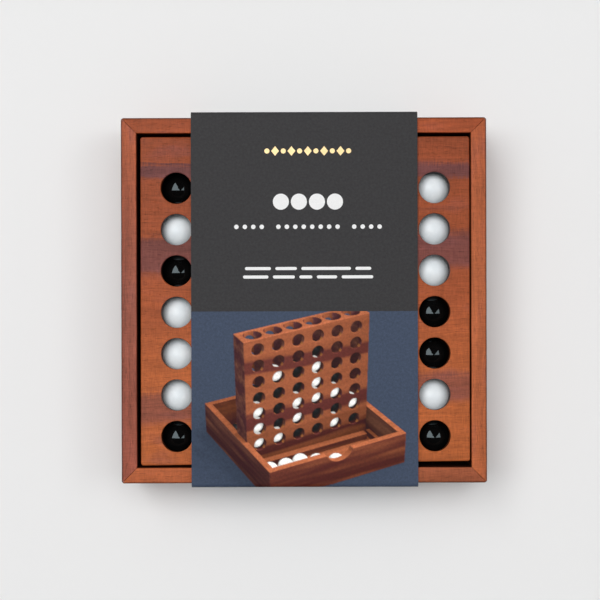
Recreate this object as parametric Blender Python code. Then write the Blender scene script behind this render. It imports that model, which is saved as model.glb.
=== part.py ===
"""Four in a row travel game, packed: wooden tray, window frame, 42 marbles, card sleeve.

Units are metres. +X runs along the frame's rows and +Z is up. -Y is the front, where the
frame's bores open. The origin is under the middle of the sleeve, on the surface it lies on.
"""

from math import asin, cos, pi, radians, sin, sqrt

import bmesh
import bpy

# Clearance left between pieces that touch.
GAP = 0.0003

# Tray: four mitred walls, a floor let in between them, four side rails and two cross bars.
TRAY_SIDE = 0.130
TRAY_HEIGHT = 0.0294
TRAY_WALL = 0.0055
TRAY_FLOOR = 0.0039
TRAY_CORNER_RADIUS = 0.0010
TRAY_EDGE_CHAMFER = 0.0006
NOTCH_WIDTH = 0.025
NOTCH_DEPTH = 0.008
RAIL_WIDTH = 0.0037
BAR_LENGTH = 0.1064
BAR_WIDTH = 0.0066

# Slot between the cross bars, where the frame stands on its closed edge for play.
SLOT_WIDTH = 0.0208
SLOT_Y = -0.0046

# Frame: two grooved boards, glued face to face.
FRAME_WIDTH = 0.1171
FRAME_THICKNESS = 0.0194
FRAME_REAR_EDGE = 0.0582
FRAME_FRONT_EDGE_LEFT = -0.0587
FRAME_FRONT_EDGE_RIGHT = -0.0573
FRAME_SHIFT = 0.00045
FRAME_CORNER_RADIUS = 0.0009
FRAME_RIM_DROP = 0.0002

# Windows and bores: one bore for each column, one window for each marble.
COLUMNS = 6
ROWS = 7
COLUMN_PITCH = 0.01835
COLUMN_SHIFT = 0.0006
ROW_PITCH = 0.01472
REAR_ROW_Y = 0.0400
BORE_DIAMETER = 0.0156
WINDOW_DIAMETER = 0.0111
CUTTER_SIDES = 16

# Marbles: a little more than one window apart, so the front ones sit forward in their windows.
# Each string is one column, from the closed rear end to the open front end.
MARBLE_DIAMETER = 0.0146
MARBLE_PITCH = 0.01492
MARBLE_COLUMNS = ("BWBWWWB", "WBWBBWB", "BBWWBWB", "WBWBWBW", "BWBBWBW", "WWWBBWB")

# Sleeve: a loose loop of card round the tray's middle.
CARD = 0.0005
SLEEVE_WIDTH = 0.0804
SLEEVE_LENGTH = 0.1334
SLEEVE_SHIFT = 0.0002
SLEEVE_BEND_RADIUS = 0.0013
TRAY_Y = -0.0003

# Sizes that follow from the ones above.
TRAY_HALF = TRAY_SIDE / 2
CAVITY_HALF = TRAY_HALF - TRAY_WALL
TRAY_Z = CARD + GAP
SLEEVE_HEIGHT = TRAY_HEIGHT + 2 * GAP + 2 * CARD
FRAME_TOP = TRAY_HEIGHT - FRAME_RIM_DROP
FRAME_BOTTOM = FRAME_TOP - FRAME_THICKNESS
BORE_AXIS_Z = FRAME_TOP - FRAME_THICKNESS / 2
MARBLE_RADIUS = MARBLE_DIAMETER / 2
BORE_END_Y = REAR_ROW_Y + MARBLE_RADIUS + GAP
MARBLE_Z = BORE_AXIS_Z - (BORE_DIAMETER / 2 - MARBLE_RADIUS - GAP)
COLUMN_X = [COLUMN_SHIFT + (column - (COLUMNS - 1) / 2) * COLUMN_PITCH for column in range(COLUMNS)]
WINDOW_Y = [REAR_ROW_Y - row * ROW_PITCH for row in range(ROWS)]
MARBLE_Y = [REAR_ROW_Y - row * MARBLE_PITCH for row in range(ROWS)]

SMOOTH_ANGLE = radians(40)


def clear_scene():
    for item in list(bpy.data.objects):
        bpy.data.objects.remove(item, do_unlink=True)


def make_material(name, colour, roughness, metallic=0.0):
    material = bpy.data.materials.new(name)
    material.use_nodes = True
    shader = material.node_tree.nodes["Principled BSDF"]
    shader.inputs["Base Color"].default_value = (*colour, 1.0)
    shader.inputs["Roughness"].default_value = roughness
    shader.inputs["Metallic"].default_value = metallic
    return material


def make_anchor(name, location):
    anchor = bpy.data.objects.new(name, None)
    anchor.location = location
    bpy.context.scene.collection.objects.link(anchor)
    return anchor


def mesh_from(bm, name):
    mesh = bpy.data.meshes.new(name)
    bm.to_mesh(mesh)
    bm.free()
    mesh.shade_smooth()
    mesh.set_sharp_from_angle(angle=SMOOTH_ANGLE)
    return mesh


def add_object(name, mesh, material=None, parent=None, location=(0, 0, 0), turn=0.0):
    """Link a mesh into the scene, turned about Z and placed under its parent."""
    item = bpy.data.objects.new(name, mesh)
    item.location = location
    item.rotation_euler = (0, 0, turn)
    item.parent = parent
    if material and not mesh.materials:
        mesh.materials.append(material)
    bpy.context.scene.collection.objects.link(item)
    return item


def loft(name, rings):
    """Closed solid through rings of equally many points, counter-clockwise seen from above."""
    bm = bmesh.new()
    loops = [[bm.verts.new(point) for point in ring] for ring in rings]
    count = len(rings[0])
    for lower, upper in zip(loops, loops[1:]):
        for i in range(count):
            j = (i + 1) % count
            bm.faces.new((lower[i], lower[j], upper[j], upper[i]))
    bm.faces.new(list(reversed(loops[0])))
    bm.faces.new(loops[-1])
    return mesh_from(bm, name)


def prism(name, outline, bottom, top):
    return loft(name, [[(x, y, z) for x, y in outline] for z in (bottom, top)])


def rectangle(x_low, x_high, y_low, y_high):
    return [(x_low, y_low), (x_high, y_low), (x_high, y_high), (x_low, y_high)]


def rounded_outline(corners, radius, steps=3):
    """Round each convex corner of a counter-clockwise outline whose corners are near square."""
    outline = []
    count = len(corners)
    for i, (x, y) in enumerate(corners):
        before = corners[i - 1]
        after = corners[(i + 1) % count]
        to_before = unit(before[0] - x, before[1] - y)
        to_after = unit(after[0] - x, after[1] - y)
        for step in range(steps + 1):
            angle = step / steps * pi / 2
            pull_before = radius * (1 - sin(angle))
            pull_after = radius * (1 - cos(angle))
            outline.append((x + to_before[0] * pull_before + to_after[0] * pull_after,
                            y + to_before[1] * pull_before + to_after[1] * pull_after))
    return outline


def unit(x, y):
    length = sqrt(x * x + y * y)
    return x / length, y / length


def cylinder_into(bm, radius, start, end, axis):
    """Add a closed cylinder to a bmesh: its flats touch the radius, its axis is Y or Z."""
    corner_radius = radius / cos(pi / CUTTER_SIDES)
    rings = []
    for centre in (start, end):
        ring = []
        for side in range(CUTTER_SIDES):
            angle = 2 * pi * side / CUTTER_SIDES
            across = corner_radius * cos(angle)
            over = corner_radius * sin(angle)
            if axis == "Z":
                point = (centre[0] + across, centre[1] + over, centre[2])
            else:
                point = (centre[0] - across, centre[1], centre[2] + over)
            ring.append(bm.verts.new(point))
        rings.append(ring)
    low, high = rings
    for i in range(CUTTER_SIDES):
        j = (i + 1) % CUTTER_SIDES
        bm.faces.new((low[i], low[j], high[j], high[i]))
    bm.faces.new(list(reversed(low)))
    bm.faces.new(high)


def add_cutter(name, mesh, parent):
    cutter = add_object(name, mesh, parent=parent)
    cutter.hide_render = True
    cutter.display_type = "WIRE"
    return cutter


def cut(item, cutter):
    boolean = item.modifiers.new(cutter.name, "BOOLEAN")
    boolean.operation = "DIFFERENCE"
    boolean.solver = "EXACT"
    boolean.object = cutter


# Tray


def wall_outline(inset):
    """Outline of the rear wall, mitred at both ends, with a rounded outer corner."""
    mitre = GAP / 2 * sqrt(2)
    inner = CAVITY_HALF + inset
    radius = TRAY_CORNER_RADIUS - inset
    centre = TRAY_HALF - TRAY_CORNER_RADIUS
    mitre_angle = pi / 4 + asin(mitre / (sqrt(2) * radius))
    steps = 3
    angles = [mitre_angle + (pi / 2 - mitre_angle) * step / steps for step in range(steps + 1)]
    right = [(centre + radius * cos(angle), centre + radius * sin(angle)) for angle in angles]
    left = [(-x, y) for x, y in reversed(right)]
    return [(inner - mitre, inner)] + right + left + [(mitre - inner, inner)]


def wall_mesh(name):
    straight = wall_outline(0.0)
    eased = wall_outline(TRAY_EDGE_CHAMFER)
    shoulder = TRAY_HEIGHT - TRAY_EDGE_CHAMFER
    rings = ((straight, 0.0), (straight, shoulder), (eased, TRAY_HEIGHT))
    return loft(name, [[(x, y, z) for x, y in outline] for outline, z in rings])


def build_walls(anchor, wood):
    """Four copies of one wall, turned about the tray's centre."""
    quarter_turns = {"tray_rear_wall": 0, "tray_left_wall": 1, "tray_front_wall": 2, "tray_right_wall": 3}
    walls = {}
    for name, quarters in quarter_turns.items():
        walls[name] = add_object(name, wall_mesh(name), wood, anchor, turn=quarters * pi / 2)
    return walls


def cut_finger_notch(wall, anchor):
    """A segment of a circle in the wall's top edge, NOTCH_WIDTH wide and NOTCH_DEPTH deep."""
    half = NOTCH_WIDTH / 2
    radius = (half * half + NOTCH_DEPTH * NOTCH_DEPTH) / (2 * NOTCH_DEPTH)
    centre_z = TRAY_HEIGHT - NOTCH_DEPTH + radius
    steps = 24
    y_low = -TRAY_HALF - TRAY_WALL
    y_high = -CAVITY_HALF + TRAY_WALL
    ring_angles = [2 * pi * step / steps for step in range(steps)]
    rings = [[(radius * cos(a), y, centre_z + radius * sin(a)) for a in ring_angles] for y in (y_high, y_low)]
    cutter = add_cutter("notch_cutter", loft("notch_cutter", rings), anchor)
    cut(wall, cutter)


def build_floor(anchor, wood):
    half = CAVITY_HALF - GAP
    mesh = prism("tray_floor", rectangle(-half, half, -half, half), 0.0, TRAY_FLOOR)
    return add_object("tray_floor", mesh, wood, anchor)


def build_rests(anchor, wood):
    """Low rests under the stored frame: side rails and cross bars, which leave the slot open."""
    slot_front = SLOT_Y - SLOT_WIDTH / 2
    slot_rear = SLOT_Y + SLOT_WIDTH / 2
    end = CAVITY_HALF - GAP
    inner = end - RAIL_WIDTH
    bar_end = BAR_LENGTH / 2
    plans = {
        "rail_left_front": rectangle(-end, -inner, -end, slot_front),
        "rail_left_rear": rectangle(-end, -inner, slot_rear, end),
        "rail_right_front": rectangle(inner, end, -end, slot_front),
        "rail_right_rear": rectangle(inner, end, slot_rear, end),
        "slot_bar_front": rectangle(-bar_end, bar_end, slot_front - BAR_WIDTH, slot_front),
        "slot_bar_rear": rectangle(-bar_end, bar_end, slot_rear, slot_rear + BAR_WIDTH),
    }
    for name, outline in plans.items():
        mesh = prism(name, outline, TRAY_FLOOR + GAP, FRAME_BOTTOM - GAP)
        add_object(name, mesh, wood, anchor)


def build_tray(anchor, wood):
    walls = build_walls(anchor, wood)
    cut_finger_notch(walls["tray_front_wall"], anchor)
    build_floor(anchor, wood)
    build_rests(anchor, wood)


# Frame


def frame_outline():
    left = FRAME_SHIFT - FRAME_WIDTH / 2
    right = FRAME_SHIFT + FRAME_WIDTH / 2
    corners = [(left, FRAME_FRONT_EDGE_LEFT), (right, FRAME_FRONT_EDGE_RIGHT),
               (right, FRAME_REAR_EDGE), (left, FRAME_REAR_EDGE)]
    return rounded_outline(corners, FRAME_CORNER_RADIUS)


def bore_cutter(anchor):
    """Six bores, open at the front edge and closed past the rear row."""
    bm = bmesh.new()
    for x in COLUMN_X:
        front = (x, -TRAY_HALF, BORE_AXIS_Z)
        rear = (x, BORE_END_Y, BORE_AXIS_Z)
        cylinder_into(bm, BORE_DIAMETER / 2, front, rear, "Y")
    return add_cutter("bore_cutter", mesh_from(bm, "bore_cutter"), anchor)


def window_cutter(anchor):
    """One window over each marble, through both boards."""
    bm = bmesh.new()
    for x in COLUMN_X:
        for y in WINDOW_Y:
            below = (x, y, FRAME_BOTTOM - GAP)
            above = (x, y, FRAME_TOP + GAP)
            cylinder_into(bm, WINDOW_DIAMETER / 2, below, above, "Z")
    return add_cutter("window_cutter", mesh_from(bm, "window_cutter"), anchor)


def build_frame(anchor, wood):
    outline = frame_outline()
    bores = bore_cutter(anchor)
    windows = window_cutter(anchor)
    halves = {"frame_back_half": (FRAME_BOTTOM, BORE_AXIS_Z - GAP / 2),
              "frame_front_half": (BORE_AXIS_Z + GAP / 2, FRAME_TOP)}
    for name, (bottom, top) in halves.items():
        half = add_object(name, prism(name, outline, bottom, top), wood, anchor)
        cut(half, bores)
        cut(half, windows)


# Marbles


def marble_mesh(name):
    bm = bmesh.new()
    bmesh.ops.create_icosphere(bm, subdivisions=2, radius=MARBLE_RADIUS)
    return mesh_from(bm, name)


def build_marbles(anchor, glass):
    meshes = {letter: marble_mesh(f"marble_{letter}") for letter in glass}
    for column, letters in enumerate(MARBLE_COLUMNS):
        for row, letter in enumerate(letters):
            name = f"marble_c{column + 1}_r{row + 1}"
            place = (COLUMN_X[column], MARBLE_Y[row], MARBLE_Z)
            add_object(name, meshes[letter], glass[letter], anchor, location=place)


# Sleeve


def sleeve_ring(x, inset):
    """Rounded rectangle in the plane across X, shrunk by the inset on all sides."""
    half = SLEEVE_LENGTH / 2 - inset
    corners = rectangle(-half, half, inset, SLEEVE_HEIGHT - inset)
    outline = rounded_outline(corners, SLEEVE_BEND_RADIUS - inset)
    return [(x, y, z) for y, z in outline]


def sleeve_mesh(name):
    bm = bmesh.new()
    x_low = SLEEVE_SHIFT - SLEEVE_WIDTH / 2
    x_high = SLEEVE_SHIFT + SLEEVE_WIDTH / 2
    path = (sleeve_ring(x_low, 0.0), sleeve_ring(x_high, 0.0), sleeve_ring(x_high, CARD), sleeve_ring(x_low, CARD))
    loops = [[bm.verts.new(point) for point in ring] for ring in path]
    count = len(loops[0])
    for step, loop in enumerate(loops):
        following = loops[(step + 1) % len(loops)]
        for i in range(count):
            j = (i + 1) % count
            bm.faces.new((loop[i], following[i], following[j], loop[j]))
    bmesh.ops.recalc_face_normals(bm, faces=bm.faces)
    return mesh_from(bm, name)


def main():
    clear_scene()
    tray_wood = make_material("tray_wood", (0.40, 0.13, 0.055), 0.45)
    frame_wood = make_material("frame_wood", (0.36, 0.105, 0.042), 0.45)
    black_glass = make_material("black_glass", (0.01, 0.01, 0.012), 0.08)
    white_glass = make_material("white_glass", (0.72, 0.74, 0.75), 0.08)
    card = make_material("printed_card", (0.055, 0.055, 0.062), 0.6)

    tray_anchor = make_anchor("tray_anchor", (0, TRAY_Y, TRAY_Z))
    build_tray(tray_anchor, tray_wood)
    build_frame(tray_anchor, frame_wood)
    build_marbles(tray_anchor, {"B": black_glass, "W": white_glass})
    add_object("sleeve", sleeve_mesh("sleeve"), card)


main()
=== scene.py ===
"""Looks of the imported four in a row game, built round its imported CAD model.

Units are metres, in the CAD model's own frame: +X runs along the rows, +Z is up, the front is
towards -Y. Each visible piece is a fine mesh that stands for one CAD node and rides on its body.
"""

import math
import random

import bmesh
import bpy
import numpy as np
from mathutils import Matrix, Vector, noise
from mathutils.bvhtree import BVHTree


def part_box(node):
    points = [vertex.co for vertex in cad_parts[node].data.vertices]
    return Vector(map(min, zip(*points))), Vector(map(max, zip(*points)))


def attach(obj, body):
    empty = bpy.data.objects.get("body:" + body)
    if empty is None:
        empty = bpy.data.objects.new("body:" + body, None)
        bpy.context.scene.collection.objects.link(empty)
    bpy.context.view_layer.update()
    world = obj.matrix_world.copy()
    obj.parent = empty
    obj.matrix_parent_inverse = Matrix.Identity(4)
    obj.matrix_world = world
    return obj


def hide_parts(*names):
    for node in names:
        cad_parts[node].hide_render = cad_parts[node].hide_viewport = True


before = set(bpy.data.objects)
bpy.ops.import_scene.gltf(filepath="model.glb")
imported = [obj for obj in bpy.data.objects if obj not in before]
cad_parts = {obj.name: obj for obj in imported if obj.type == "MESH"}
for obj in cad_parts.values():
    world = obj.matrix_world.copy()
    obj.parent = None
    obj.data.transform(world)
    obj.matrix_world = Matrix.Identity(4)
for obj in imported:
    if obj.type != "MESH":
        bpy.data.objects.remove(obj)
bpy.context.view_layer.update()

# Places and sizes that the CAD model gives.
TRAY_LOW = Vector((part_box("tray_left_wall")[0].x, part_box("tray_front_wall")[0].y,
                   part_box("tray_floor")[0].z))
TRAY_HIGH = Vector((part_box("tray_right_wall")[1].x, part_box("tray_rear_wall")[1].y,
                    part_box("tray_rear_wall")[1].z))
TRAY_HALF = (TRAY_HIGH.x - TRAY_LOW.x) / 2
TRAY_HEIGHT = TRAY_HIGH.z - TRAY_LOW.z
TRAY_ORIGIN = Vector(((TRAY_LOW.x + TRAY_HIGH.x) / 2, (TRAY_LOW.y + TRAY_HIGH.y) / 2, TRAY_LOW.z))
CAVITY_HALF = TRAY_HALF - (TRAY_HIGH.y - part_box("tray_rear_wall")[0].y)
FRAME_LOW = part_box("frame_back_half")[0]
FRAME_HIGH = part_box("frame_front_half")[1]
SEAM_Z = (FRAME_LOW.z + FRAME_HIGH.z) / 2
SLEEVE_LOW, SLEEVE_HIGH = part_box("sleeve")
MARBLES = sorted(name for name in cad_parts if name.startswith("marble_"))
ROWS = 7
COLUMN_X = [sum(p.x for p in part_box(f"marble_c{column}_r1")) / 2 for column in range(1, 7)]
REAR_ROW_Y = sum(p.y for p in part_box("marble_c1_r1")) / 2

# Tray walls.
CORNER_RADIUS = 0.0010
OUTER_EASE = 0.0007
INNER_EASE = 0.0004
BOTTOM_EASE = 0.0003
MITRE_GAP = 0.00002
MITRE_EASE = 0.00012
NOTCH_WIDTH = 0.025
NOTCH_DEPTH = 0.008
LIP_SOFTNESS = 0.0006
WALL_STEPS = 24
HAND_WOBBLE = 0.00007
WOBBLE_SCALE = 60
LEAST_SLANT = 0.6

# Tones of a wall, as shares of its colour: up its outer side, over its top, down its inner side, and
# at its mitres. The outer side and its rim are darker, the inner rim carries a painted highlight, the
# inner side painted shade that deepens into the gap, and the mitres are dark joints. The tones of the
# sides fade over EDGE_SHADE below the top.
FOOT_TONE = 0.7
OUTSIDE_TONE = 0.8
OUTER_RIM_TONE = 0.2
INNER_RIM_PAINTED_HIGHLIGHT = 1.15
UPPER_INSIDE_PAINTED_SHADE = 0.3
INSIDE_PAINTED_SHADE = 0.1
SEAM_TONE = 0.4
EDGE_SHADE = 0.0014

# Frame boards. The front edge is sawn a little out of square. The windows and bores carry painted
# shade, darker than the faces: RIM_PAINTED_SHADE down to RIM_DEPTH below a face, and BORE_PAINTED_SHADE
# below that.
OUT_OF_SQUARE = 0.0014
FRAME_CORNER_RADIUS = 0.0009
BOARD_EASE = 0.0006
SEAM_EASE = 0.00012
SEAM_GAP = 0.00004
ROW_PITCH = 0.01472
WINDOW_RADIUS = 0.00555
WINDOW_EASE = 0.0003
BORE_RADIUS = 0.0078
BORE_EASE = 0.0004
BORE_END = REAR_ROW_Y + 0.0076
CUTTER_SIDES = 56
FLARE_STEPS = 4
FACE_DEPTH = WINDOW_EASE * 0.9
RIM_DEPTH = WINDOW_EASE * 2
RIM_PAINTED_SHADE = 0.4
BORE_PAINTED_SHADE = 0.12

# Floor of the tray and the rests on it. Inside the tray their wood gets painted shade, darkening to
# SUNKEN_PAINTED_SHADE over SUNKEN_RISE millimetres.
REST_EASE = 0.0003
SUNKEN_RISE = 1.0
SUNKEN_PAINTED_SHADE = 0.3

# Marbles.
MARBLE_SEED = 42
MARBLE_DETAIL = 5
MARBLE_UNEVEN = 0.00003
UNEVEN_SCALE = 1.3
MARBLE_PIT = 0.00005
PIT_REACH = 0.006
MARBLE_DRIFT = 0.0003

# Card of the sleeve.
CARD = 0.0005
BEND_RADIUS = 0.0013
CARD_WAVE = 0.00006
WAVE_SCALE = 22
LAP_STEP = 0.00012
LAP_Y = 0.044
LAP_MARGIN = 0.002
COARSE_COLUMNS = 20
FINE_COLUMNS = 320
PLAIN_ROWS = 12
SIDE_ROWS = 5
UNDER_ROWS = 10
COARSE_PICTURE_ROWS = 7
FINE_PICTURE_ROWS = 245
PICTURE_TOP = TRAY_ORIGIN.y - 0.0039

# Detail of every piece.
ARC_STEPS = 5
FOOT_STEPS = 3
SMOOTH_ANGLE = math.radians(32)

# Colours, linear.
HEARTWOOD = (0.135, 0.046, 0.048)
CHARCOAL = (0.036, 0.035, 0.037)
SLATE = (0.039, 0.056, 0.100)
BARE_CARD = (0.56, 0.54, 0.50)

# What the card's own sheen adds to its print, and the darkest print.
CARD_SHEEN = 0.014
DARKEST_PRINT = 0.002

# Dark heartwood bands of the frame: place across the grain, half width, softness, all in
# millimetres, then slope along the grain and strength.
FRAME_STRIPES = ((45.8, 2.5, 1.1, 0.0, 0.85), (16.6, 6.3, 2.0, 0.02, 0.75), (-34.9, 5.2, 2.0, 0.07, 0.6))


# ---------------------------------------------------------------- meshes


def finished_mesh(name, bm):
    """Turn a bmesh into a mesh with outward normals, smooth except at its sharp edges."""
    bmesh.ops.recalc_face_normals(bm, faces=bm.faces)
    mesh = bpy.data.meshes.new(name)
    bm.to_mesh(mesh)
    bm.free()
    mesh.shade_smooth()
    mesh.set_sharp_from_angle(angle=SMOOTH_ANGLE)
    return mesh


def link(name, mesh, material=None):
    """Put a mesh into the scene as an object, with its material."""
    item = bpy.data.objects.new(name, mesh)
    if material:
        mesh.materials.append(material)
    bpy.context.scene.collection.objects.link(item)
    return item


def stand_for(item, node, body):
    """The piece takes a CAD node's place, on that node's body."""
    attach(item, body)
    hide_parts(node)
    return item


def even_normals(item):
    """Large flat faces keep their flat shading next to eased edges."""
    modifier = item.modifiers.new("even_normals", "WEIGHTED_NORMAL")
    modifier.keep_sharp = True


def bridge(bm, lower, upper):
    """Faces between two closed rings of equally many vertices."""
    count = len(lower)
    for i in range(count):
        j = (i + 1) % count
        bm.faces.new((lower[i], lower[j], upper[j], upper[i]))


def loft(bm, rings):
    """Closed solid through rings of points."""
    loops = [[bm.verts.new(point) for point in ring] for ring in rings]
    for lower, upper in zip(loops, loops[1:]):
        bridge(bm, lower, upper)
    bm.faces.new(loops[0])
    bm.faces.new(loops[-1])


def quarter(steps=ARC_STEPS):
    """Angles of a quarter turn."""
    return [math.pi / 2 * step / steps for step in range(steps + 1)]


def spread(low, high, steps):
    """Evenly spaced values, both ends included."""
    return [low + (high - low) * step / steps for step in range(steps + 1)]


def rounded_outline(corners, radius):
    """Round each convex corner of a counter-clockwise outline whose corners are near square."""
    outline = []
    for i, corner in enumerate(corners):
        to_before = (corners[i - 1] - corner).normalized()
        to_after = (corners[(i + 1) % len(corners)] - corner).normalized()
        for angle in quarter():
            pull_before = radius * (1 - math.sin(angle))
            pull_after = radius * (1 - math.cos(angle))
            outline.append(corner + to_before * pull_before + to_after * pull_after)
    return outline


def board_mesh(name, corners, bottom, top, radius, ease_bottom, ease_top):
    """Flat board with rounded corners and eased edges. Its corners run counter-clockwise."""
    inward = [Vector(way) for way in ((1, 1), (-1, 1), (-1, -1), (1, -1))]

    def ring(inset, z):
        moved = [corner + way * inset for corner, way in zip(corners, inward)]
        return [(p.x, p.y, z) for p in rounded_outline(moved, max(radius - inset, radius / 4))]

    rings = [ring(ease_bottom * (1 - math.sin(a)), bottom + ease_bottom * (1 - math.cos(a)))
             for a in quarter(FOOT_STEPS)]
    rings += [ring(ease_top * (1 - math.cos(a)), top - ease_top * (1 - math.sin(a))) for a in quarter()]
    bm = bmesh.new()
    loft(bm, rings)
    return finished_mesh(name, bm)


def rectangle(low, high):
    """Corners of a flat rectangle, counter-clockwise."""
    return [Vector(point) for point in ((low.x, low.y), (high.x, low.y), (high.x, high.y), (low.x, high.y))]


def turned(bm, profile, place):
    """Closed turned solid. The profile gives radius and height, and place maps a local point."""
    angles = [2 * math.pi * side / CUTTER_SIDES for side in range(CUTTER_SIDES)]
    loft(bm, [[place(radius * math.cos(a), radius * math.sin(a), height) for a in angles]
              for radius, height in profile])


def flared(radius, ease, start, mouth, outward, beyond):
    """Profile of a hole that widens by ease at its mouth and ends beyond it. Outward is 1 or -1."""
    profile = [(radius, start), (radius, mouth - outward * ease)]
    for angle in quarter(FLARE_STEPS)[1:]:
        flare = ease * (1 - math.cos(angle))
        profile.append((radius + flare, mouth - outward * ease * (1 - math.sin(angle))))
    profile.append((radius + ease, mouth + outward * beyond))
    return profile


def carve(item, cutters):
    """Cut the cutters out of the item for good, and remove them."""
    for cutter in cutters:
        boolean = item.modifiers.new(cutter.name, "BOOLEAN")
        boolean.operation = "DIFFERENCE"
        boolean.solver = "EXACT"
        boolean.object = cutter
    evaluated = item.evaluated_get(bpy.context.evaluated_depsgraph_get())
    carved = bpy.data.meshes.new_from_object(evaluated)
    item.modifiers.clear()
    item.data = carved
    carved.shade_smooth()
    carved.set_sharp_from_angle(angle=SMOOTH_ANGLE)
    for cutter in cutters:
        bpy.data.objects.remove(cutter)


# ---------------------------------------------------------------- materials


class Nodes:
    """One node tree, with short calls for making and linking its nodes."""

    def __init__(self, tree):
        self.tree = tree

    def add(self, kind, inputs, output=0, **settings):
        """Make a node, set or link its inputs, and give back one of its outputs."""
        node = self.tree.nodes.new("ShaderNode" + kind)
        for key, value in settings.items():
            setattr(node, key, value)
        for key, value in inputs.items():
            self.feed(node.inputs[key], value)
        return node.outputs[output]

    def feed(self, socket, value):
        if isinstance(value, bpy.types.NodeSocket):
            self.tree.links.new(value, socket)
        else:
            socket.default_value = value

    def split(self, vector):
        return [self.add("SeparateXYZ", {0: vector}, axis) for axis in range(3)]

    def join(self, x, y, z):
        return self.add("CombineXYZ", {0: x, 1: y, 2: z})

    def calc(self, operation, *values):
        return self.add("Math", dict(enumerate(values)), operation=operation)


class Shader(Nodes):
    """One material. Its sockets are set by name, with _ for a space."""

    def __init__(self, name, **sockets):
        self.material = bpy.data.materials.new(name)
        self.material.use_nodes = True
        super().__init__(self.material.node_tree)
        self.surface = self.tree.nodes["Principled BSDF"]
        for socket, value in sockets.items():
            self.surface.inputs[socket.replace("_", " ")].default_value = value

    def finish(self, colour, roughness=None, height=None, depth=0.00002):
        """Link the pattern to the surface, with bumps of the given depth, and give back the material."""
        self.feed(self.surface.inputs["Base Color"], colour)
        if roughness is not None:
            self.feed(self.surface.inputs["Roughness"], roughness)
        if height is not None:
            bump = self.add("Bump", {"Strength": 1.0, "Distance": depth, "Height": height})
            self.feed(self.surface.inputs["Normal"], bump)
        return self.material

    def millimetres(self):
        """Place on the piece. A piece's own axes are those of the whole model at rest."""
        place = self.add("TexCoord", {}, "Object")
        return self.add("VectorMath", {0: place, "Scale": 1000.0}, operation="SCALE")

    def stretch(self, vector, scale, shift=(0.0, 0.0, 0.0)):
        return self.add("VectorMath", {0: vector, 1: scale, 2: shift}, operation="MULTIPLY_ADD")

    def noise(self, vector, detail=2.0, rough=0.5):
        return self.add("TexNoise", {"Vector": vector, "Scale": 1.0, "Detail": detail, "Roughness": rough})

    def fade(self, value, start, end, low=0.0, high=1.0, kind="SMOOTHSTEP"):
        """A value mapped from start..end to low..high, clamped."""
        inputs = {"Value": value, "From Min": start, "From Max": end, "To Min": low, "To Max": high}
        return self.add("MapRange", inputs, interpolation_type=kind)

    def mix(self, factor, a, b, blend="MIX"):
        inputs = {0: factor, 6: opaque(a), 7: opaque(b)}
        return self.add("Mix", inputs, 2, data_type="RGBA", blend_type=blend)

    def shaded(self, colour, shade):
        """A colour times a plain number."""
        return self.mix(1.0, colour, self.join(shade, shade, shade), "MULTIPLY")

    def ramp(self, value, colours):
        """Colour ramp through evenly spaced colours."""
        node = self.tree.nodes.new("ShaderNodeValToRGB")
        self.feed(node.inputs[0], value)
        elements = node.color_ramp.elements
        while len(elements) < len(colours):
            elements.new(0.5)
        for step, colour in enumerate(colours):
            elements[step].position = step / (len(colours) - 1)
            elements[step].color = opaque(colour)
        return node.outputs[0]


def opaque(colour):
    """A colour with its alpha, or the socket unchanged."""
    return colour if isinstance(colour, bpy.types.NodeSocket) else (*colour, 1.0)


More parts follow.
